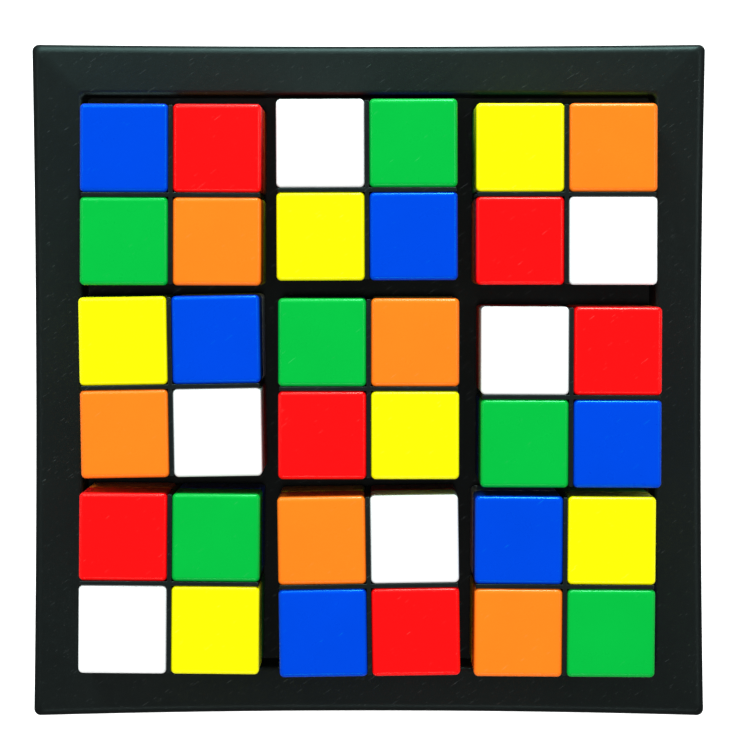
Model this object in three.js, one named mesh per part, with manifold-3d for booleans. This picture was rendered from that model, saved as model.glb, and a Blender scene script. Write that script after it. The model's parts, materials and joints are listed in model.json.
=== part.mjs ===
// A colour block puzzle: a square black tray that holds nine loose blocks in three rows of three.
// Each block is a black core of three crossed plates with eight coloured mini-cube caps plugged onto it.
// Millimetres, +Z up. The origin is the middle of the tray's underside, +X is right and +Y is the far side.
import * as THREE from "three";
import { mergeVertices } from "three/addons/utils/BufferGeometryUtils.js";
import Module from "manifold-3d";

const wasm = await Module();
wasm.setup();

// ---- Driving dimensions ------------------------------------------------------------------------

// Block
const BLOCK = 38; // edge of a block, over its caps
const RIB_LINE = 1.0; // width of the black line between two caps
const CAP_CLEARANCE = 0.2; // between a cap and each of the core's plates beside it
const CORE_RECESS = 0.35; // how far the plates' edges stay behind the caps' faces

// Cap
const CAP_WALL = 1.4; // wall and roof
const CAP_CORNER_RADIUS = 1.2; // on the four upright edges
const CAP_CHAMFER = 0.8; // round the outer face
const PEG = 3.0; // side of the core's square pegs
const PEG_LENGTH = 9.0; // above and below the middle plate
const PEG_CLEARANCE = 0.2; // between a peg and its socket, on each side and at the end
const SOCKET_WALL = 1.0; // wall of the socket round a peg

// Ties that join the four lower caps
const TIE_WIDTH = 3.0;
const TIE_HEIGHT = 2.0;
const TIE_DEPTH = 2.5; // below the middle plate
const TIE_OUT = 6.0; // from the block's middle line
const TIE_CLEARANCE = 0.3; // round a tie in its slot

// Tray
const FREE_PLAY = 9.4; // room left over in the pocket beside three blocks
const RIM_WIDTH = 10.85; // pocket edge to outer face, at the corners
const TRAY_HEIGHT = 18;
const TRAY_FLOOR = 2.0;
const RIM_ROOF = 2.2; // thickness of the rim above the channel
const RIM_FALL = 0.6; // how much lower the rim is at its outer edge
const POCKET_WALL = 2.0;
const SKIRT_WALL = 2.0;
const RIM_EDGE_RADIUS = 1.6; // rounding of the outer top edge
const POCKET_EDGE_CHAMFER = 0.4;
const TRAY_CORNER_RADIUS = 1.4; // upright outer corners
const POCKET_CORNER_RADIUS = 1.0;
const BOWS = { right: 0.7, far: 0.4, left: 0.6, near: 1.0 }; // how far each outer side is bowed in
const WEB = 1.6; // thickness of the stiffening webs under the rim
const WEBS_PER_SIDE = 5; // the outer two stand in line with the pocket's corners

// Resting
const REST_GAP = 0.2; // under a block that stands on the pocket floor
const WALL_GAP = 0.1; // least room left between a block and the edge of its own cell

// ---- Colours and layout ------------------------------------------------------------------------

const COLOURS = {
  red: 0xff141a,
  orange: 0xff8c28,
  yellow: 0xffff0c,
  green: 0x05cd48,
  blue: 0x0050f0,
  white: 0xffffff,
};
const COLOUR_RING = Object.keys(COLOURS);

// The caps of a block, with the signs of X and Y of its quarter.
const QUARTERS = { nw: [-1, 1], ne: [1, 1], sw: [-1, -1], se: [1, -1] };

// Each block's place: row and column, the colours of its caps in the order of QUARTERS, where it lies in
// its cell as shares of the room it has there (a share past 1 uses room that its neighbour leaves), and
// its turn in degrees.
const BLOCKS = [
  { name: "a1", cell: [-1, 1], caps: ["blue", "red", "green", "orange"], lie: [-0.24, -0.94], turn: -0.2 },
  { name: "a2", cell: [0, 1], caps: ["white", "green", "yellow", "blue"], lie: [-0.23, -0.2], turn: 0.2 },
  { name: "a3", cell: [1, 1], caps: ["yellow", "orange", "red", "white"], lie: [0.26, -0.81], turn: 0 },
  { name: "b1", cell: [-1, 0], caps: ["yellow", "blue", "orange", "white"], lie: [-0.39, -0.36], turn: 0.9 },
  { name: "b2", cell: [0, 0], caps: ["green", "orange", "red", "yellow"], lie: [0.02, -0.59], turn: 0 },
  { name: "b3", cell: [1, 0], caps: ["white", "red", "green", "blue"], lie: [0.99, -1.89], turn: -0.2 },
  { name: "c1", cell: [-1, -1], caps: ["red", "green", "white", "yellow"], lie: [-0.58, -0.51], turn: -0.5 },
  { name: "c2", cell: [0, -1], caps: ["orange", "white", "blue", "red"], lie: [0.04, -1.0], turn: 0.8 },
  { name: "c3", cell: [1, -1], caps: ["blue", "yellow", "orange", "green"], lie: [0.1, -1.0], turn: -0.4 },
];

// ---- Worked out from the above -----------------------------------------------------------------

const CAP = (BLOCK - RIB_LINE) / 2; // edge of a cap
const CAP_MIDDLE = (CAP + RIB_LINE) / 2; // from the block's middle planes
const CORE_PLATE = RIB_LINE - 2 * CAP_CLEARANCE; // thickness of the core's three plates
const CELL = BLOCK + FREE_PLAY / 3;
const POCKET_HALF = (3 * CELL) / 2;

// ---- Helpers -----------------------------------------------------------------------------------

// A ring of points at height z: a square with round corners, whose sides may be bowed in. The sides are
// taken in the order right, far, left, near, so the ring runs counter-clockwise seen from above.
function squareRing(half, radius, z, sideSteps, cornerSteps, bows = {}) {
  const reach = half - radius;
  const ring = [];
  ["right", "far", "left", "near"].forEach((side, quarter) => {
    const bow = bows[side] ?? 0;
    const place = (out, along) => {
      const point = new THREE.Vector3(out, along, z);
      ring.push(point.applyAxisAngle(new THREE.Vector3(0, 0, 1), (quarter * Math.PI) / 2));
    };
    for (let i = 0; i <= sideSteps; i += 1) {
      const share = (2 * i) / sideSteps - 1;
      place(half - bow * (1 - share * share), reach * share);
    }
    for (let i = 1; i < cornerSteps; i += 1) {
      const angle = (i / cornerSteps) * (Math.PI / 2);
      place(reach + radius * Math.cos(angle), reach + radius * Math.sin(angle));
    }
  });
  return ring;
}

// A closed surface over rings with equal numbers of points. The first and last rings are closed by a fan
// round a point on the Z axis.
function skin(rings) {
  const count = rings[0].length;
  const points = rings.flat();
  const triangles = [];
  for (let row = 0; row < rings.length - 1; row += 1) {
    for (let i = 0; i < count; i += 1) {
      const a = row * count + i;
      const b = row * count + ((i + 1) % count);
      triangles.push(a, b, b + count, a, b + count, a + count);
    }
  }
  const first = points.length;
  points.push(new THREE.Vector3(0, 0, rings[0][0].z));
  points.push(new THREE.Vector3(0, 0, rings.at(-1)[0].z));
  const lastRow = (rings.length - 1) * count;
  for (let i = 0; i < count; i += 1) {
    const next = (i + 1) % count;
    triangles.push(first, next, i);
    triangles.push(first + 1, lastRow + i, lastRow + next);
  }
  const geometry = new THREE.BufferGeometry().setFromPoints(points);
  geometry.setIndex(triangles);
  return geometry;
}

// A box given by its size and its middle.
function box(sizeX, sizeY, sizeZ, x, y, z) {
  return new THREE.BoxGeometry(sizeX, sizeY, sizeZ).translate(x, y, z);
}

// A geometry as a solid that can be joined and cut.
function solid(geometry) {
  const plain = geometry.clone();
  plain.deleteAttribute("normal");
  plain.deleteAttribute("uv");
  const merged = mergeVertices(plain);
  const vertProperties = new Float32Array(merged.attributes.position.array);
  const triVerts = new Uint32Array(merged.index.array);
  return new wasm.Manifold(new wasm.Mesh({ numProp: 3, vertProperties, triVerts }));
}

// A solid back as a geometry.
function geometryOf(body) {
  const mesh = body.getMesh();
  const geometry = new THREE.BufferGeometry();
  geometry.setAttribute("position", new THREE.BufferAttribute(mesh.vertProperties, 3));
  geometry.setIndex(new THREE.BufferAttribute(mesh.triVerts, 1));
  geometry.computeVertexNormals();
  return geometry;
}

function joined(pieces) {
  return pieces.map(solid).reduce((whole, piece) => whole.add(piece));
}

function plastic(colour, roughness) {
  return new THREE.MeshStandardMaterial({ color: colour, roughness, metalness: 0 });
}

// ---- Sub-parts ---------------------------------------------------------------------------------

// One cap, its open side down on z = 0 and its middle on the Z axis: a shell with four walls and a roof,
// and a square socket that hangs from the roof to take the core's peg.
function capSolid() {
  const half = CAP / 2;
  const shoulder = CAP - CAP_CHAMFER;
  const chamferedRadius = Math.max(CAP_CORNER_RADIUS - CAP_CHAMFER, CAP_CORNER_RADIUS / 4);
  const outside = solid(
    skin([
      squareRing(half, CAP_CORNER_RADIUS, 0, 1, 2),
      squareRing(half, CAP_CORNER_RADIUS, shoulder, 1, 2),
      squareRing(half - CAP_CHAMFER, chamferedRadius, CAP, 1, 2),
    ]),
  );
  const inside = CAP - 2 * CAP_WALL;
  const hollowHeight = CAP - CAP_WALL;
  const hollow = solid(box(inside, inside, 2 * hollowHeight, 0, 0, 0));
  const bore = PEG + 2 * PEG_CLEARANCE;
  const boreEnd = PEG_LENGTH + PEG_CLEARANCE;
  const socketSide = bore + 2 * SOCKET_WALL;
  const socket = solid(box(socketSide, socketSide, CAP - CAP_WALL / 2, 0, 0, (CAP - CAP_WALL / 2) / 2));
  return outside
    .subtract(hollow)
    .add(socket)
    .subtract(solid(box(bore, bore, 2 * boreEnd, 0, 0, 0)));
}

// The core, its middle on the origin: three crossed plates, a peg up and down in each quarter, and a slot
// up from the underside for each tie of the lower caps.
function coreGeometry() {
  const side = BLOCK - 2 * CORE_RECESS;
  const pegReach = 2 * (PEG_LENGTH + RIB_LINE / 2);
  const pieces = [
    box(side, side, CORE_PLATE, 0, 0, 0),
    box(side, CORE_PLATE, side, 0, 0, 0),
    box(CORE_PLATE, side, side, 0, 0, 0),
  ];
  for (const [x, y] of Object.values(QUARTERS)) {
    pieces.push(box(PEG, PEG, pegReach, x * CAP_MIDDLE, y * CAP_MIDDLE, 0));
  }
  const slotTop = -(TIE_DEPTH - TIE_CLEARANCE);
  const slotWidth = TIE_WIDTH + 2 * TIE_CLEARANCE;
  const slotHeight = BLOCK / 2 + slotTop;
  const slotMiddle = slotTop - slotHeight / 2;
  let core = joined(pieces);
  for (const out of [-TIE_OUT, TIE_OUT]) {
    core = core.subtract(solid(box(slotWidth, RIB_LINE, slotHeight, out, 0, slotMiddle)));
    core = core.subtract(solid(box(RIB_LINE, slotWidth, slotHeight, 0, out, slotMiddle)));
  }
  return geometryOf(core);
}

// The four lower caps of a block, open side up under the middle plate, with a tie across each of the four
// lines between them.
function lowerCapsGeometry(cap) {
  const tieLength = RIB_LINE + CAP_WALL;
  const tieMiddle = -(TIE_DEPTH + TIE_HEIGHT / 2);
  const pieces = [];
  for (const out of [-TIE_OUT, TIE_OUT]) {
    pieces.push(solid(box(TIE_WIDTH, tieLength, TIE_HEIGHT, out, 0, tieMiddle)));
    pieces.push(solid(box(tieLength, TIE_WIDTH, TIE_HEIGHT, 0, out, tieMiddle)));
  }
  const turned = cap.rotate([180, 0, 0]);
  for (const [x, y] of Object.values(QUARTERS)) {
    pieces.push(turned.translate([x * CAP_MIDDLE, y * CAP_MIDDLE, -RIB_LINE / 2]));
  }
  return geometryOf(pieces.reduce((whole, piece) => whole.add(piece)));
}

// The tray, as one closed skin: out over the underside of the floor, up and over the channel under the
// rim, down inside the skirt, up its outer face, in over the rim and down into the pocket.
function traySkin() {
  const sideSteps = 8;
  const cornerSteps = 3;
  const edgeSteps = 3;
  const ring = (out, z, radius, bows) =>
    squareRing(POCKET_HALF + out, radius, z, sideSteps, cornerSteps, bows);
  const rimOuterTop = TRAY_HEIGHT - RIM_FALL;
  const channelIn = POCKET_WALL;
  const channelOut = RIM_WIDTH - SKIRT_WALL;
  const innerRadius = POCKET_CORNER_RADIUS + POCKET_WALL;
  const skirtRadius = Math.max(TRAY_CORNER_RADIUS - SKIRT_WALL, TRAY_CORNER_RADIUS / 4);
  const rings = [
    ring(channelIn, 0, innerRadius),
    ring(channelIn, TRAY_HEIGHT - RIM_ROOF, innerRadius),
    ring(channelOut, rimOuterTop - RIM_ROOF, skirtRadius, BOWS),
    ring(channelOut, 0, skirtRadius, BOWS),
    ring(RIM_WIDTH, 0, TRAY_CORNER_RADIUS, BOWS),
  ];
  for (let i = 0; i <= edgeSteps; i += 1) {
    const angle = (i / edgeSteps) * (Math.PI / 2);
    const inset = RIM_EDGE_RADIUS * (1 - Math.cos(angle));
    const z = rimOuterTop - RIM_EDGE_RADIUS * (1 - Math.sin(angle));
    rings.push(ring(RIM_WIDTH - inset, z, TRAY_CORNER_RADIUS, BOWS));
  }
  rings.push(ring(POCKET_EDGE_CHAMFER, TRAY_HEIGHT, POCKET_CORNER_RADIUS + POCKET_EDGE_CHAMFER));
  rings.push(ring(0, TRAY_HEIGHT - POCKET_EDGE_CHAMFER, POCKET_CORNER_RADIUS));
  rings.push(ring(0, TRAY_FLOOR, POCKET_CORNER_RADIUS));
  return skin(rings);
}

// Webs across the channel under the rim, evenly spaced along each side, with their ends sunk half a wall
// into the pocket wall and the skirt.
function webBoxes() {
  const inner = POCKET_HALF + POCKET_WALL / 2;
  const length = RIM_WIDTH - POCKET_WALL / 2 - SKIRT_WALL / 2 - Math.max(...Object.values(BOWS)) / 2;
  const top = TRAY_HEIGHT - RIM_FALL - RIM_ROOF / 2;
  const webs = [];
  for (let side = 0; side < 4; side += 1) {
    for (let i = 0; i < WEBS_PER_SIDE; i += 1) {
      const along = POCKET_HALF * ((2 * i) / (WEBS_PER_SIDE - 1) - 1);
      const web = box(length, WEB, top, inner + length / 2, along, top / 2);
      webs.push(web.rotateZ((side * Math.PI) / 2));
    }
  }
  return webs;
}

function trayMesh() {
  const tray = webBoxes().reduce((whole, web) => whole.add(solid(web)), solid(traySkin()));
  const mesh = new THREE.Mesh(geometryOf(tray), plastic(0x20262a, 0.45));
  mesh.name = "tray";
  return mesh;
}

// One block as a group: its core, four upper caps and the joined lower caps.
function blockGroup(block, shapes) {
  const group = new THREE.Group();
  const add = (name, geometry, material) => {
    const mesh = new THREE.Mesh(geometry, material);
    mesh.name = `block_${block.name}_${name}`;
    group.add(mesh);
    return mesh;
  };
  add("core", shapes.core, plastic(0x15181a, 0.5));
  Object.entries(QUARTERS).forEach(([quarter, [x, y]], index) => {
    const cap = add(`cap_${quarter}`, shapes.cap, plastic(COLOURS[block.caps[index]], 0.3));
    cap.position.set(x * CAP_MIDDLE, y * CAP_MIDDLE, RIB_LINE / 2);
  });
  const lowerColour = COLOUR_RING[(COLOUR_RING.indexOf(block.caps[0]) + 1) % COLOUR_RING.length];
  add("lower_caps", shapes.lowerCaps, plastic(COLOURS[lowerColour], 0.3));

  const turn = THREE.MathUtils.degToRad(block.turn);
  const reach = (BLOCK / 2) * (Math.cos(turn) + Math.abs(Math.sin(turn)));
  const room = CELL / 2 - reach - WALL_GAP;
  const [x, y] = block.cell.map((cell, axis) => cell * CELL + block.lie[axis] * room);
  group.position.set(x, y, TRAY_FLOOR + REST_GAP + BLOCK / 2);
  group.rotation.z = turn;
  return group;
}

// ---- Assembly ----------------------------------------------------------------------------------

function buildPuzzle() {
  const cap = capSolid();
  const shapes = { cap: geometryOf(cap), core: coreGeometry(), lowerCaps: lowerCapsGeometry(cap) };
  const puzzle = new THREE.Group();
  puzzle.add(trayMesh());
  for (const block of BLOCKS) {
    puzzle.add(blockGroup(block, shapes));
  }
  return puzzle;
}

export default buildPuzzle();
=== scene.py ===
"""A colour block puzzle: nine loose blocks of coloured mini-cubes in a square black tray.

Sizes are in metres. The frame gives where every block lies and how it is turned.
"""
import json
import math

import bpy
import numpy as np
from bpy.props import FloatProperty, FloatVectorProperty, IntProperty, PointerProperty
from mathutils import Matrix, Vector

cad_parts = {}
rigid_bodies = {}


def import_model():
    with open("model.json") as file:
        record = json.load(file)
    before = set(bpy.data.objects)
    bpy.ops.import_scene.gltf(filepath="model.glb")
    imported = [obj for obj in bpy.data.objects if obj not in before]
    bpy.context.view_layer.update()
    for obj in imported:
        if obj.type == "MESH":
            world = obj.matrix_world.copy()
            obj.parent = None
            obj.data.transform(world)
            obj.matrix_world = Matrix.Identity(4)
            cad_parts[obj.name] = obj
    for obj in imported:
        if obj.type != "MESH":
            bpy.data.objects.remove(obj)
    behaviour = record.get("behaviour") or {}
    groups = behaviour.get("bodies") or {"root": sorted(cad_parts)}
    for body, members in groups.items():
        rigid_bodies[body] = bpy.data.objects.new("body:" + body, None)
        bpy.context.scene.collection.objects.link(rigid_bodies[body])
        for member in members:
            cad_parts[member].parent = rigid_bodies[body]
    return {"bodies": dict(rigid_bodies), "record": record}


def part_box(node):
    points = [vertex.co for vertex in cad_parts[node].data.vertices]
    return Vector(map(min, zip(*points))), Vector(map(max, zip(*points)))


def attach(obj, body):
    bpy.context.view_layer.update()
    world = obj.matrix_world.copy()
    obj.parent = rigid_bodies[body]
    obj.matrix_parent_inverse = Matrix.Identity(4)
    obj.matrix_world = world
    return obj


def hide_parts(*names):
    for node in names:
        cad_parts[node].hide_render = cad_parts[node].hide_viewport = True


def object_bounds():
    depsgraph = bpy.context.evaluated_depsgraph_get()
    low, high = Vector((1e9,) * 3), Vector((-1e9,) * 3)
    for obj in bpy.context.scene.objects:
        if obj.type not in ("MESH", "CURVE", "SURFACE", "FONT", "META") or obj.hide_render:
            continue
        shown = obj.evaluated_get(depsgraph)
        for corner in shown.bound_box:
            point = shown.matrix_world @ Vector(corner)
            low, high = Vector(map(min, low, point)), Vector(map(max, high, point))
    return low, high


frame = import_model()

bl_info = {
    "name": "Colour block puzzle",
    "version": (1, 0, 0),
    "blender": (4, 5, 0),
    "location": "View3D > Sidebar > Puzzle",
    "description": "Makes the tray, the blocks' ribs and the coloured caps, and sets the stage",
    "category": "Object",
}

CAD_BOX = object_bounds()
MM = 0.001

FLOOR_REACH = 3.0
FLOOR_DROP = 0.02 * MM
CAMERA_PLACE = (1.36 * MM, 26 * MM, 802 * MM)
CAMERA_AIM = (1.36 * MM, 1.35 * MM, 18 * MM)
SENSOR_WIDTH = 36.0

WHITE = (1.0, 1.0, 1.0)
COOL = (0.75, 1.0, 0.97)
SKY = (0.94, 0.98, 1.0)
BLACK_SHEEN = (0.7, 1.0, 0.95)
DUST = (0.30, 0.34, 0.34)

QUARTERS = {"nw": (-1, 1), "ne": (1, 1), "sw": (-1, -1), "se": (1, -1)}
COLOUR_RING = ["red", "orange", "yellow", "green", "blue", "white"]
# The colour that each plastic gives to what it reflects and to its fine scratches.
CAP_SHEENS = {
    "red": (1.0, 0.5, 0.45),
    "orange": (1.0, 0.8, 0.5),
    "yellow": (1.0, 1.0, 0.4),
    "green": (0.3, 1.0, 0.6),
    "blue": (0.01, 0.9, 1.0),
    "white": (1.0, 1.0, 1.0),
}
BLOCKS = sorted(body for body in frame["bodies"] if body.startswith("block_"))
SLOTS = {part["node"]: part["material_slot"] for part in frame["record"]["subparts"]}


# ---- What the frame says -------------------------------------------------------------------------


def middle(node):
    """The middle of a CAD node's box."""
    low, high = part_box(node)
    return np.array((low + high) / 2)


def cap_edge():
    """The edge of a cap, which is its height."""
    low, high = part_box(f"{BLOCKS[0]}_cap_nw")
    return high.z - low.z


def cap_pitch():
    """From the middle of one cap to the middle of the next in the same block."""
    return float(np.linalg.norm(middle(f"{BLOCKS[0]}_cap_ne") - middle(f"{BLOCKS[0]}_cap_nw")))


def placed(points, block):
    """Points round a block's own middle, turned and moved to where the block lies."""
    across = middle(f"{block}_cap_ne") - middle(f"{block}_cap_nw")
    turn = math.atan2(across[1], across[0])
    spin = np.array(
        [
            [math.cos(turn), -math.sin(turn), 0],
            [math.sin(turn), math.cos(turn), 0],
            [0, 0, 1],
        ]
    )
    return points @ spin.T + middle(f"{block}_core")


def upper_colour(block, quarter):
    """The colour name of an upper cap, from its material slot."""
    return SLOTS[f"{block}_cap_{quarter}"].removeprefix("cap_")


def lower_colour(block, quarter):
    """The colour under an upper cap is the next one in the ring of six."""
    index = COLOUR_RING.index(upper_colour(block, quarter))
    return COLOUR_RING[(index + 1) % len(COLOUR_RING)]


# ---- Surfaces ------------------------------------------------------------------------------------


def square_rings(half, radius, height, side_steps, corner_steps, bows=(0, 0, 0, 0), bowing=0):
    """Rings round the Z axis, one for each row of half, radius and height.

    A ring is a square with round corners. A side's point is half out, less the bow times one minus the
    square of its share along the side; a corner's point is the corner's centre plus the radius times
    the cosine and sine of its angle. The sides are right, far, left and near.
    """
    half, radius, height, bowing = (
        column[:, None] for column in np.broadcast_arrays(half, radius, height, bowing)
    )
    share = np.linspace(-1, 1, side_steps + 1)
    angle = np.linspace(0, math.pi / 2, corner_steps + 1)[1:-1]
    reach = half - radius
    sides = []
    for quarter, bow in enumerate(bows):
        side_out = half - bowing * bow * (1 - share**2)
        out = np.hstack([side_out, reach + radius * np.cos(angle)])
        along = np.hstack([reach * share, reach + radius * np.sin(angle)])
        turn = quarter * math.pi / 2
        x = out * math.cos(turn) - along * math.sin(turn)
        y = out * math.sin(turn) + along * math.cos(turn)
        sides.append(np.stack([x, y], axis=-1))
    flat = np.concatenate(sides, axis=1)
    tall = np.broadcast_to(height[..., None], (*flat.shape[:2], 1))
    return np.concatenate([flat, tall], axis=-1)


def skin(rings):
    """The closed surface over rings: a quad between neighbours, and a fan from a pole at each end."""
    rows, count = rings.shape[:2]
    index = np.arange(rows * count).reshape(rows, count)
    ahead = np.roll(index, -1, axis=1)
    quads = np.stack([index[:-1], ahead[:-1], ahead[1:], index[1:]], axis=-1).reshape(-1, 4)
    first, last = rows * count, rows * count + 1
    start_fan = np.stack([np.full(count, first), ahead[0], index[0]], axis=-1)
    end_fan = np.stack([np.full(count, last), index[-1], ahead[-1]], axis=-1)
    poles = np.array([[0, 0, rings[0, 0, 2]], [0, 0, rings[-1, 0, 2]]])
    points = np.vstack([rings.reshape(-1, 3), poles])
    return points, quads.tolist() + start_fan.tolist() + end_fan.tolist()


def arc(centre_out, centre_up, radius, start, end, steps):
    """Rows of (out, up) on a circle: the centre plus the radius times cosine and sine, in degrees."""
    angle = np.radians(np.linspace(start, end, steps + 1))
    return np.stack([centre_out + radius * np.cos(angle), centre_up + radius * np.sin(angle)], axis=-1)


def grid_solid(planes, filled):
    """The surface of a solid made of the filled cells between cut planes on X, Y and Z.

    A wall is a quad where a filled cell meets an empty one, and it faces the empty one.
    """
    padded = np.pad(filled, 1)
    counts = [len(p) for p in planes]
    corners = np.stack(np.meshgrid(*planes, indexing="ij"), axis=-1).reshape(-1, 3)
    quads = []
    for axis in range(3):
        step = np.diff(padded.astype(int), axis=axis)
        inner = [slice(1, -1)] * 3
        inner[axis] = slice(None)
        cell = np.argwhere(step[tuple(inner)] != 0)
        sense = step[tuple(inner)][tuple(cell.T)]
        u, v = np.eye(3, dtype=int)[[(axis + 1) % 3, (axis + 2) % 3]]
        loop = np.stack([cell, cell + u, cell + u + v, cell + v], axis=1)
        flat = np.ravel_multi_index(tuple(np.moveaxis(loop, -1, 0)), counts)
        quads.append(np.where(sense[:, None] > 0, flat[:, ::-1], flat))
    faces = np.vstack(quads)
    used, index = np.unique(faces, return_inverse=True)
    return corners[used], index.reshape(faces.shape).tolist()


# ---- Pieces --------------------------------------------------------------------------------------


def shade(mesh, sharp=40.0):
    """Smooth shading, but for edges sharper than the given degrees."""
    mesh.shade_smooth()
    mesh.set_sharp_from_angle(angle=math.radians(sharp))


def make_piece(name, points, faces, material):
    """A smooth mesh object at the origin."""
    mesh = bpy.data.meshes.new(name)
    mesh.from_pydata(np.asarray(points).tolist(), [], faces)
    mesh.validate()
    shade(mesh)
    mesh.materials.append(material)
    piece = bpy.data.objects.new(name, mesh)
    bpy.context.scene.collection.objects.link(piece)
    return piece


def apply_modifiers(piece):
    """Replaces a piece's mesh by what its modifiers make of it."""
    graph = bpy.context.evaluated_depsgraph_get()
    mesh = bpy.data.meshes.new_from_object(piece.evaluated_get(graph))
    piece.modifiers.clear()
    piece.data = mesh


def cap_surface(shape):
    """An upper cap round its own middle, open below.

    The profile runs from the end of the peg's bore down to the socket's mouth, up outside the socket,
    over the ceiling, down the inner wall, round the rim, up the outer wall and over the rounded edge to
    the top, which is crowned by a parabola. It is carried round a square with round corners.
    """
    edge = cap_edge()
    half = edge / 2
    wall = shape.cap_wall
    bore = shape.peg / 2 + shape.peg_clearance
    bore_end = shape.peg_length + shape.peg_clearance
    socket = bore + shape.socket_wall
    ceiling = edge - wall
    inside = half - wall
    rim = shape.rim_radius
    ease = shape.inner_edge
    fillet = shape.cap_edge_radius
    corner = shape.cap_corner_radius
    least_corner = corner / 4
    guard = shape.guard
    crown = shape.cap_crown

    def rows(out_up, radius):
        out_up = np.atleast_2d(out_up)
        return np.column_stack([out_up, np.full(len(out_up), radius)])

    outer = np.vstack(
        [
            rows([inside + rim, 0], wall / 2),
            rows(arc(half - rim, rim, rim, -90, 0, 3), corner),
            rows([half, guard + rim], corner),
            rows([half, edge - fillet - guard], corner),
        ]
    )
    over = arc(half - fillet, edge - fillet, fillet, 0, 90, 8)
    shrink = (over[:, 0] - half) + corner
    over = np.column_stack([over, np.maximum(shrink, least_corner)])
    flat_half = half - fillet
    top_share = np.array([1 - guard / flat_half, 0.9, 0.7, 0.45, 0.2])
    top = np.column_stack(
        [
            flat_half * top_share,
            edge - crown * top_share**2,
            over[-1, 2] * top_share,
        ]
    )
    over[:, 1] -= crown * (over[:, 1] - (edge - fillet)) / fillet
    inner = np.vstack(
        [
            rows([bore / 2, bore_end], ease / 2),
            rows([[bore, bore_end], [bore, 1.5 * ease]], ease),
            rows([bore + 1.5 * ease, 0], 1.5 * ease),
            rows([[socket - ease, 0], [socket, ease], [socket, ceiling - 2 * ease]], 2 * ease),
            rows([socket + 2 * ease, ceiling], 3 * ease),
            rows([inside - 2 * ease, ceiling], 2 * ease),
            rows([[inside, ceiling - 2 * ease], [inside, rim]], 2.5 * ease),
        ]
    )
    profile = np.vstack([inner, outer, over, top])
    rings = square_rings(profile[:, 0], profile[:, 2], profile[:, 1], side_steps=4, corner_steps=6)
    points, faces = skin(rings)
    return points - [0, 0, half], faces


def ribs_surface(shape):
    """A block's core round its own middle: three crossed plates with a square peg up and down in each
    quarter, as the filled cells between cut planes."""
    edge = cap_edge()
    pitch = cap_pitch()
    plate = (pitch - edge) / 2 - shape.plate_fit
    reach = pitch / 2 + edge / 2 - shape.core_recess
    peg = shape.peg / 2
    peg_end = (pitch - edge) / 2 + shape.peg_length
    flat = np.array([-reach, -pitch / 2 - peg, -pitch / 2 + peg, -plate])
    across = np.concatenate([flat, -flat[::-1]])
    tall = np.array([-reach, -peg_end, -plate, plate, peg_end, reach])
    centre = [(p[1:] + p[:-1]) / 2 for p in (across, across, tall)]
    x, y, z = np.meshgrid(*centre, indexing="ij")
    on_plate = (abs(x) < plate) | (abs(y) < plate) | (abs(z) < plate)
    in_peg = (abs(abs(x) - pitch / 2) < peg) & (abs(abs(y) - pitch / 2) < peg) & (abs(z) < peg_end)
    return grid_solid([across, across, tall], on_plate | in_peg)


def tray_surface(shape):
    """The tray without its webs: a profile carried round a square whose outer sides are bowed in.

    The profile runs out under the floor, up and over the channel, down inside the skirt, round its
    lower edge, up its outer face, over the rounded edge, in over the sloped rim, round the pocket's
    edge, down its wall and in over its floor.
    """
    low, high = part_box("tray")
    outer = (high.x - low.x) / 2
    top = high.z
    pocket = outer - shape.rim_width
    rim_low = top - shape.rim_fall
    channel_in = pocket + shape.pocket_wall
    skirt_in = outer - shape.skirt_wall
    edge = shape.rim_edge_radius
    mouth = shape.pocket_edge_radius
    corner = shape.tray_corner_radius
    pocket_corner = shape.pocket_corner_radius
    guard = 2 * shape.guard
    foot = shape.foot_radius
    slope = math.atan2(shape.rim_fall, shape.rim_width - edge)
    fall = math.degrees(slope)
    mid_rim = 0.55

    def rows(out_up, radius, bowing):
        out_up = np.atleast_2d(out_up)
        count = len(out_up)
        return np.column_stack([out_up, np.full(count, radius), np.full(count, bowing)])

    inner_corner = pocket_corner + shape.pocket_wall
    rim_arc = arc(outer - edge, rim_low - edge, edge, 0, 90 - fall, 10)
    mouth_arc = arc(pocket + mouth, top - mouth, mouth, 90 - fall, 180, 6)
    cove = shape.cove_radius
    floor_arc = arc(pocket - cove, shape.tray_floor + cove, cove, 0, -90, 4)
    profile = np.vstack(
        [
            rows([channel_in / 2, 0], inner_corner / 2, 0),
            rows(arc(channel_in - foot, foot, foot, -90, 0, 3), inner_corner, 0),
            rows([channel_in, top - shape.rim_roof], inner_corner, 0),
            rows([skirt_in, rim_low - shape.rim_roof], corner / 2, 1),
            rows(arc(skirt_in + foot, foot, foot, 180, 270, 3), corner / 2, 1),
            rows(arc(outer - foot, foot, foot, -90, 0, 3), corner, 1),
            rows([outer, foot + guard], corner, 1),
            rows([outer, rim_low - edge - guard], corner, 1),
            rows(rim_arc, corner, 1),
            rows([outer - edge - guard, rim_low + guard * math.tan(slope)], corner, 1),
            rows([pocket + mid_rim * shape.rim_width, top - shape.rim_fall / 2], corner, 0.5),
            rows([pocket + mouth + guard, top - guard * math.tan(slope)], pocket_corner, 0),
            rows(mouth_arc, pocket_corner, 0),
            rows([pocket, top - mouth - guard], pocket_corner, 0),
            rows([pocket, shape.tray_floor + cove + guard], pocket_corner, 0),
            rows(floor_arc, pocket_corner, 0),
            rows([[pocket * 0.66, shape.tray_floor], [pocket * 0.33, shape.tray_floor]], cove, 0),
        ]
    )
    bows = (shape.bow_right, shape.bow_far, shape.bow_left, shape.bow_near)
    half, up, radius, bowing = profile.T
    rings = square_rings(half, radius, up, 24, 8, bows, bowing)
    return skin(rings)


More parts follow.
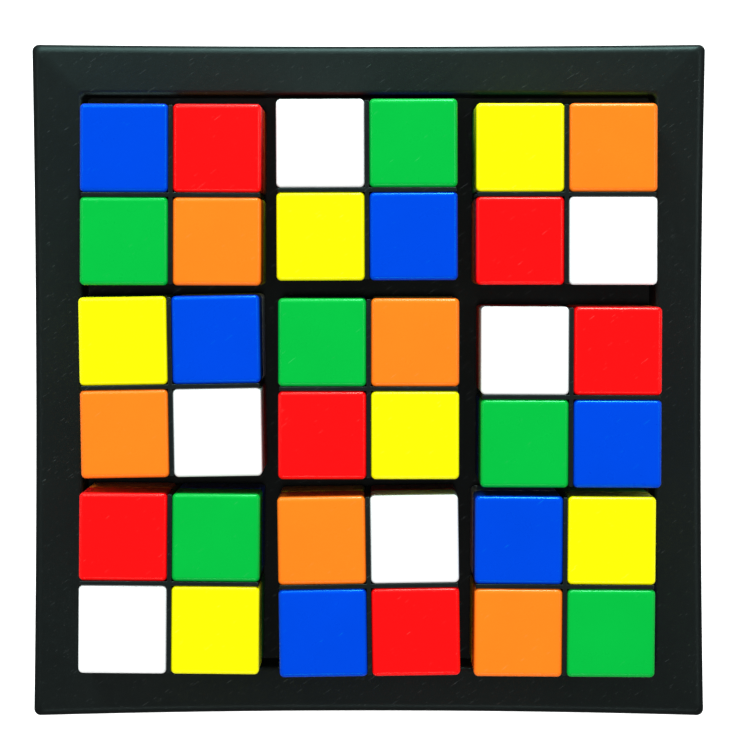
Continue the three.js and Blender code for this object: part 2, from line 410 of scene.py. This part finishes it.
def web_boxes(shape):
    """The webs under the rim: boxes across the channel, evenly spaced along each side."""
    low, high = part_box("tray")
    outer = (high.x - low.x) / 2
    pocket = outer - shape.rim_width
    start = pocket + shape.pocket_wall / 2
    end = outer - shape.skirt_wall / 2 - max(shape.bow_near, shape.bow_right) / 2
    top = high.z - shape.rim_fall - shape.rim_roof / 2
    cube = np.array([[x, y, z] for x in (0, 1) for y in (-0.5, 0.5) for z in (0, 1)])
    sides = [[0, 1, 3, 2], [4, 6, 7, 5], [0, 4, 5, 1], [2, 3, 7, 6], [0, 2, 6, 4], [1, 5, 7, 3]]
    bases, faces = [], []
    for side in range(4):
        turn = side * math.pi / 2
        spin = np.array([[math.cos(turn), -math.sin(turn)], [math.sin(turn), math.cos(turn)]])
        for along in np.linspace(-pocket, pocket, shape.webs):
            box = cube * [end - start, shape.web, top] + [start, along, shape.web_lift]
            box[:, :2] = box[:, :2] @ spin.T
            faces += [[corner + 8 * len(bases) for corner in face] for face in sides]
            bases.append(box)
    return np.vstack(bases), faces


# ---- Shader maths --------------------------------------------------------------------------------


class Value:
    """A socket's number, so that shader maths is written as arithmetic."""

    def __init__(self, graph, socket):
        self.graph = graph
        self.socket = socket

    def __add__(self, other):
        return self.graph.maths("ADD", self, other)

    __radd__ = __add__

    def __sub__(self, other):
        return self.graph.maths("SUBTRACT", self, other)

    def __rsub__(self, other):
        return self.graph.maths("SUBTRACT", other, self)

    def __mul__(self, other):
        return self.graph.maths("MULTIPLY", self, other)

    __rmul__ = __mul__

    def over(self, edge, width):
        """0 below edge, 1 above edge plus width, and straight between."""
        scaled = (self - edge) * (1 / width)
        return self.graph.maths("MINIMUM", self.graph.maths("MAXIMUM", scaled, 0.0), 1.0)


class Graph:
    """A material's node tree."""

    def __init__(self, name):
        self.material = bpy.data.materials.new(name)
        self.material.use_nodes = True
        self.tree = self.material.node_tree
        self.tree.nodes.clear()
        self.place = self.node("ShaderNodeTexCoord", {}, {}, "Object")

    def node(self, kind, settings, inputs, output=0):
        """Makes a node: its settings first, then its sockets' values or links. Gives one output."""
        made = self.tree.nodes.new(kind)
        for name, value in settings.items():
            setattr(made, name, value)
        for name, value in inputs.items():
            if isinstance(value, Value):
                self.tree.links.new(value.socket, made.inputs[name])
            else:
                made.inputs[name].default_value = value
        return Value(self, made.outputs[output]) if made.outputs else made

    def maths(self, operation, first, second):
        """One Math node on two numbers."""
        return self.node("ShaderNodeMath", {"operation": operation}, {0: first, 1: second})

    def mix(self, share, first, second):
        """A colour between two colours: sockets 6 and 7 take them, and output 2 gives it."""
        return self.node("ShaderNodeMix", {"data_type": "RGBA"}, {0: share, 6: first, 7: second}, 2)

    def noise(self, size, detail=2.0, roughness=0.5, where=None):
        """Soft noise whose blobs are about size metres across, from 0 to 1."""
        inputs = {"Scale": 1 / size, "Detail": detail, "Roughness": roughness}
        return self.node("ShaderNodeTexNoise", {}, {"Vector": where or self.place, **inputs})

    def stretched(self, angle, ratio):
        """Places turned about Z and squeezed along X, so that noise read there is drawn out.

        The noise's size is then the width of its strokes.
        """
        inputs = {"Vector": self.place, "Rotation": (0, 0, angle), "Scale": (ratio, 1, 1)}
        return self.node("ShaderNodeMapping", {"vector_type": "TEXTURE"}, inputs)

    def bump(self, height, distance):
        """A normal for a surface that stands out by height times distance."""
        return self.node("ShaderNodeBump", {}, {"Height": height, "Distance": distance, "Strength": 1.0})

    def finish(self, inputs):
        """Ends the tree in one Principled shader and gives the material."""
        shader = self.node("ShaderNodeBsdfPrincipled", {}, inputs)
        self.node("ShaderNodeOutputMaterial", {}, {"Surface": shader})
        return self.material


def rgba(colour, gain=1.0):
    """A colour times a gain, no more than 1 in any channel, with full alpha."""
    return (*(min(1.0, c * gain) for c in colour), 1.0)


def cap_plastic(name, colour, sheen):
    """Coloured moulded plastic: soft gloss, faint clouding, handling smudges and fine short scratches."""
    graph = Graph(f"cap_plastic_{name}")
    clouds = graph.noise(11 * MM, detail=3.0)
    smudges = graph.noise(5 * MM, detail=3.0)
    drawn_out = graph.stretched(math.radians(38), 28)
    scratches = graph.noise(0.14 * MM, where=drawn_out).over(0.73, 0.03)
    peel = graph.noise(0.9 * MM, detail=1.0)
    clouded = graph.mix(clouds, rgba(colour, 0.94), rgba(colour, 1.04))
    scratched = graph.mix(scratches * 0.12, clouded, rgba(sheen))
    roughness = 0.25 + smudges * 0.06 + scratches * 0.12
    normal = graph.bump(peel - scratches * 0.2, 0.007 * MM)
    gloss = {"IOR": 1.5, "Specular Tint": rgba(sheen)}
    return graph.finish({"Base Color": scratched, "Roughness": roughness, "Normal": normal, **gloss})


def black_plastic(name, colour, grain, roughness):
    """Black moulded plastic with a fine satin grain, faint drawn-out marks and a little dust."""
    graph = Graph(name)
    clouds = graph.noise(18 * MM, detail=3.0)
    fine = graph.noise(grain, roughness=0.6)
    wiped = graph.stretched(math.radians(42), 7)
    strokes = graph.noise(0.8 * MM, detail=3.0, roughness=0.6, where=wiped)
    drawn_out = graph.stretched(math.radians(35), 30)
    scratches = graph.noise(0.16 * MM, where=drawn_out).over(0.70, 0.04)
    dust = graph.noise(0.45 * MM, roughness=0.6).over(0.74, 0.03)
    clouded = graph.mix(clouds, rgba(colour, 0.75), rgba(colour, 1.25))
    marked = graph.mix(scratches * 0.12 + dust * 0.10, clouded, rgba(DUST))
    gloss = roughness + (strokes - 0.5) * 0.16 + (fine - 0.5) * 0.12 + scratches * 0.1
    normal = graph.bump(fine + strokes * 0.5 - scratches * 0.4, 0.02 * MM)
    sheen = {"IOR": 1.5, "Specular IOR Level": 0.40, "Specular Tint": rgba(BLACK_SHEEN)}
    return graph.finish({"Base Color": marked, "Roughness": gloss, "Normal": normal, **sheen})


# ---- Settings ------------------------------------------------------------------------------------


def length(name, description, value):
    """A length, whose default is given in millimetres."""
    return FloatProperty(
        name=name, description=description, default=value * MM, unit="LENGTH", precision=5
    )


def watts(name, description, value):
    """A light's power, whose default is given in watts."""
    return FloatProperty(name=name, description=description, default=value, unit="POWER")


def hue(name, value):
    """A plastic's base colour."""
    description = f"Base colour of the {name.lower()} plastic"
    return FloatVectorProperty(name=name, description=description, default=value, subtype="COLOR")


class PuzzleShape(bpy.types.PropertyGroup):
    """Sizes that the frame's boxes don't give."""

    cap_wall: length("Cap wall", "Wall and roof of a cap", 1.4)
    cap_edge_radius: length("Cap edge", "Rounding round a cap's outer face", 1.0)
    cap_corner_radius: length("Cap corner", "Radius of a cap's upright edges", 1.0)
    cap_crown: length("Cap crown", "How much a cap's face rises in its middle", 0.05)
    inner_edge: length("Inner edge", "Smallest rounding inside a cap", 0.2)
    rim_radius: length("Cap rim", "Rounding of a cap's open edge", 0.2)
    peg: length("Peg", "Side of a square peg", 3.0)
    peg_length: length("Peg length", "How far a peg stands off the middle plate", 9.0)
    peg_clearance: length("Peg clearance", "Room between a peg and its socket", 0.2)
    socket_wall: length("Socket wall", "Wall round a peg", 1.0)
    plate_fit: length("Plate fit", "Room between a plate and a cap", 0.05)
    core_recess: length("Core recess", "How far the ribs stay behind the caps' faces", 0.25)
    rib_edge_radius: length("Rib edge", "Rounding of the ribs", 0.15)
    rim_width: length("Rim width", "Pocket edge to outer face at the corners", 10.85)
    rim_fall: length("Rim fall", "How much lower the rim is at its outer edge", 0.6)
    rim_roof: length("Rim roof", "Thickness of the rim above the channel", 2.2)
    rim_edge_radius: length("Rim edge", "Rounding of the outer top edge", 1.9)
    pocket_wall: length("Pocket wall", "Wall round the pocket", 2.0)
    skirt_wall: length("Skirt wall", "Wall of the outer skirt", 2.0)
    tray_floor: length("Tray floor", "Thickness of the pocket's floor", 2.0)
    tray_corner_radius: length("Tray corner", "Radius of the upright outer corners", 1.4)
    pocket_corner_radius: length("Pocket corner", "Radius of the pocket's corners", 1.0)
    pocket_edge_radius: length("Pocket edge", "Rounding of the rim's inner edge", 0.9)
    cove_radius: length("Pocket cove", "Rounding at the foot of the pocket's wall", 0.3)
    foot_radius: length("Foot edge", "Rounding of the tray's lower edges", 0.3)
    web: length("Web", "Thickness of the webs under the rim", 1.6)
    web_lift: length("Web lift", "How far the webs stay above the tray's lower edge", 0.05)
    webs: IntProperty(name="Webs", description="Webs along each side of the tray", default=5, min=2)
    bow_right: length("Bow right", "How far the right side is bowed in", 0.7)
    bow_far: length("Bow far", "How far the far side is bowed in", 0.4)
    bow_left: length("Bow left", "How far the left side is bowed in", 0.6)
    bow_near: length("Bow near", "How far the near side is bowed in", 1.0)
    guard: length("Guard", "Distance of a guard ring from a rounded edge", 0.12)


class PuzzleColours(bpy.types.PropertyGroup):
    """Base colours, in linear light."""

    red: hue("Red", (0.86, 0.003, 0.004))
    orange: hue("Orange", (0.88, 0.168, 0.009))
    yellow: hue("Yellow", (0.86, 0.82, 0.001))
    green: hue("Green", (0.001, 0.360, 0.037))
    blue: hue("Blue", (0.0003, 0.043, 0.52))
    white: hue("White", (0.86, 0.86, 0.86))
    tray: hue("Tray", (0.0039, 0.0042, 0.0041))
    ribs: hue("Ribs", (0.0050, 0.0065, 0.0065))


class PuzzleStage(bpy.types.PropertyGroup):
    """Floor, lights and camera."""

    floor: FloatVectorProperty(
        name="Floor", description="Colour of the floor", default=(0.9, 0.9, 0.9), subtype="COLOR"
    )
    glow: FloatProperty(name="Glow", description="Light that the floor gives off itself", default=0.35)
    surround: FloatProperty(name="Surround", description="Strength of the surrounding light", default=0.1)
    key: watts("Key light", "Power of the light high on the far side", 5.4)
    strip: watts("Far strip", "Power of the low light on the far side", 11.5)
    overhead: watts("Overhead light", "Power of the polarised light from above", 89.0)
    fill: watts("Fill lights", "Power that the left, right and near lights take their shares of", 0.7)
    lens: FloatProperty(name="Lens", description="Focal length in millimetres", default=174.6)


# ---- Operators -----------------------------------------------------------------------------------


class PUZZLE_OT_tray(bpy.types.Operator):
    """Make the black tray with its webs"""

    bl_idname = "puzzle.tray"
    bl_label = "Tray"

    def execute(self, context):
        shape = context.scene.puzzle_shape
        colour = context.scene.puzzle_colours.tray
        material = black_plastic("tray_plastic", colour, grain=0.25 * MM, roughness=0.46)
        tray = make_piece("tray_moulding", *tray_surface(shape), material)
        webs = make_piece("webs", *web_boxes(shape), material)
        union = tray.modifiers.new("webs", "BOOLEAN")
        union.operation = "UNION"
        union.solver = "EXACT"
        union.object = webs
        apply_modifiers(tray)
        shade(tray.data, sharp=35.0)
        bpy.data.objects.remove(webs)
        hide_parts("tray")
        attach(tray, "tray")
        return {"FINISHED"}


class PUZZLE_OT_ribs(bpy.types.Operator):
    """Make each block's black core"""

    bl_idname = "puzzle.ribs"
    bl_label = "Ribs"

    def execute(self, context):
        shape = context.scene.puzzle_shape
        colour = context.scene.puzzle_colours.ribs
        material = black_plastic("rib_plastic", colour, grain=0.2 * MM, roughness=0.38)
        points, faces = ribs_surface(shape)
        for block in BLOCKS:
            ribs = make_piece(f"{block}_ribs", placed(points, block), faces, material)
            bevel = ribs.modifiers.new("edges", "BEVEL")
            bevel.width = shape.rib_edge_radius
            bevel.segments = 3
            bevel.limit_method = "ANGLE"
            apply_modifiers(ribs)
            shade(ribs.data)
            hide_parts(f"{block}_core")
            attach(ribs, block)
        return {"FINISHED"}


def cap_materials(context):
    """One plastic for each colour, made once."""
    colours = context.scene.puzzle_colours
    made = {name: bpy.data.materials.get(f"cap_plastic_{name}") for name in COLOUR_RING}
    return {
        name: material or cap_plastic(name, getattr(colours, name), CAP_SHEENS[name])
        for name, material in made.items()
    }


class PUZZLE_OT_upper_caps(bpy.types.Operator):
    """Make the four upper caps of each block"""

    bl_idname = "puzzle.upper_caps"
    bl_label = "Upper caps"

    def execute(self, context):
        points, faces = cap_surface(context.scene.puzzle_shape)
        materials = cap_materials(context)
        out = cap_pitch() / 2
        for block in BLOCKS:
            for quarter, (x, y) in QUARTERS.items():
                colour = upper_colour(block, quarter)
                moved = placed(points + [x * out, y * out, out], block)
                cap = make_piece(f"{block}_upper_{quarter}", moved, faces, materials[colour])
                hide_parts(f"{block}_cap_{quarter}")
                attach(cap, block)
        return {"FINISHED"}


class PUZZLE_OT_lower_caps(bpy.types.Operator):
    """Make the four lower caps of each block, which are upper caps turned over"""

    bl_idname = "puzzle.lower_caps"
    bl_label = "Lower caps"

    def execute(self, context):
        points, faces = cap_surface(context.scene.puzzle_shape)
        turned = points * [1, -1, -1]
        materials = cap_materials(context)
        out = cap_pitch() / 2
        for block in BLOCKS:
            for quarter, (x, y) in QUARTERS.items():
                colour = lower_colour(block, quarter)
                moved = placed(turned + [x * out, y * out, -out], block)
                cap = make_piece(f"{block}_lower_{quarter}", moved, faces, materials[colour])
                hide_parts(f"{block}_lower_caps")
                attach(cap, block)
        return {"FINISHED"}


def make_floor(stage):
    """A wide pale floor, a hair below the tray so that no two faces lie in one plane."""
    level = CAD_BOX[0].z - FLOOR_DROP
    signs = [(-1, -1), (1, -1), (1, 1), (-1, 1)]
    corners = [(x * FLOOR_REACH, y * FLOOR_REACH, level) for x, y in signs]
    graph = Graph("floor_paper")
    tone = graph.mix(graph.noise(0.2), rgba(stage.floor, 0.98), rgba(stage.floor, 1.0))
    glow = {"Emission Color": rgba(WHITE), "Emission Strength": stage.glow}
    paper = graph.finish({"Base Color": tone, "Roughness": 0.9, **glow})
    floor = make_piece("floor", corners, [[0, 1, 2, 3]], paper)
    return floor


def make_surround(stage):
    """A dim, even light from all round."""
    world = bpy.data.worlds.new("surround")
    world.use_nodes = True
    background = world.node_tree.nodes["Background"]
    background.inputs["Color"].default_value = rgba(SKY)
    background.inputs["Strength"].default_value = stage.surround
    return world


def add_light(name, place, aim, size, power, colour):
    """A rectangular area light that shines from place towards aim."""
    light = bpy.data.lights.new(name, "AREA")
    light.shape = "RECTANGLE"
    light.size, light.size_y = size
    light.energy = power
    light.color = colour
    lamp = bpy.data.objects.new(name, light)
    lamp.location = place
    lamp.rotation_euler = (Vector(aim) - Vector(place)).to_track_quat("-Z", "Y").to_euler()
    bpy.context.scene.collection.objects.link(lamp)
    return lamp


def light_plan(stage):
    """Each light's name, place, width and height, power and colour.

    The far lights stand off the line of the gaps between the blocks, so that they don't shine down them.
    """
    return (
        ("key", (-0.34, 0.81, 0.68), (0.2, 0.7), stage.key, COOL),
        ("far_strip", (0.12, 1.15, 0.30), (0.16, 0.35), stage.strip, COOL),
        ("fill_left", (-1.0, 0.15, 0.75), (0.2, 0.3), stage.fill * 1.1, WHITE),
        ("fill_right", (1.0, 0.15, 0.95), (0.25, 0.3), stage.fill * 2.6, WHITE),
        ("fill_near", (0.0, -1.0, 0.95), (0.3, 0.2), stage.fill * 2.0, WHITE),
        ("overhead", (0.0, -0.05, 3.0), (0.1, 0.1), stage.overhead, WHITE),
    )


def make_camera(stage):
    """A camera that looks down from far above, turned about X only."""
    camera = bpy.data.cameras.new("camera")
    camera.lens = stage.lens
    camera.sensor_width = SENSOR_WIDTH
    camera.clip_start = 0.05
    camera.clip_end = 20.0
    eye = bpy.data.objects.new("camera", camera)
    eye.location = CAMERA_PLACE
    towards = Vector(CAMERA_AIM) - eye.location
    eye.rotation_euler = (math.atan2(towards.y, -towards.z), 0, 0)
    bpy.context.scene.collection.objects.link(eye)
    return eye


class PUZZLE_OT_stage(bpy.types.Operator):
    """Make the pale floor, the soft lights and the camera"""

    bl_idname = "puzzle.stage"
    bl_label = "Stage"

    def execute(self, context):
        scene = context.scene
        stage = scene.puzzle_stage
        low, high = CAD_BOX
        centre = (low + high) / 2
        floor = make_floor(stage)
        scene.world = make_surround(stage)
        lamps = {
            name: add_light(name, place, centre, size, power, colour)
            for name, place, size, power, colour in light_plan(stage)
        }
        # Crossed polarisers keep the overhead light and the pale floor out of reflections.
        lamps["overhead"].visible_glossy = False
        floor.visible_glossy = False
        scene.camera = make_camera(stage)
        scene.view_settings.view_transform = "Standard"
        return {"FINISHED"}


STEPS = (PUZZLE_OT_stage, PUZZLE_OT_tray, PUZZLE_OT_ribs, PUZZLE_OT_upper_caps, PUZZLE_OT_lower_caps)


class PUZZLE_PT_panel(bpy.types.Panel):
    """The puzzle's settings and steps"""

    bl_idname = "PUZZLE_PT_panel"
    bl_label = "Colour block puzzle"
    bl_space_type = "VIEW_3D"
    bl_region_type = "UI"
    bl_category = "Puzzle"

    def draw(self, context):
        for group in (
            context.scene.puzzle_shape,
            context.scene.puzzle_colours,
            context.scene.puzzle_stage,
        ):
            for name in group.__annotations__:
                self.layout.prop(group, name)
        for step in STEPS:
            self.layout.operator(step.bl_idname)


CLASSES = (PuzzleShape, PuzzleColours, PuzzleStage, *STEPS, PUZZLE_PT_panel)


def register():
    for cls in CLASSES:
        bpy.utils.register_class(cls)
    bpy.types.Scene.puzzle_shape = PointerProperty(type=PuzzleShape)
    bpy.types.Scene.puzzle_colours = PointerProperty(type=PuzzleColours)
    bpy.types.Scene.puzzle_stage = PointerProperty(type=PuzzleStage)


def unregister():
    del bpy.types.Scene.puzzle_stage
    del bpy.types.Scene.puzzle_colours
    del bpy.types.Scene.puzzle_shape
    for cls in reversed(CLASSES):
        bpy.utils.unregister_class(cls)


def main():
    register()
    bpy.ops.puzzle.stage()
    bpy.ops.puzzle.tray()
    bpy.ops.puzzle.ribs()
    bpy.ops.puzzle.upper_caps()
    bpy.ops.puzzle.lower_caps()


if __name__ == "__main__":
    main()
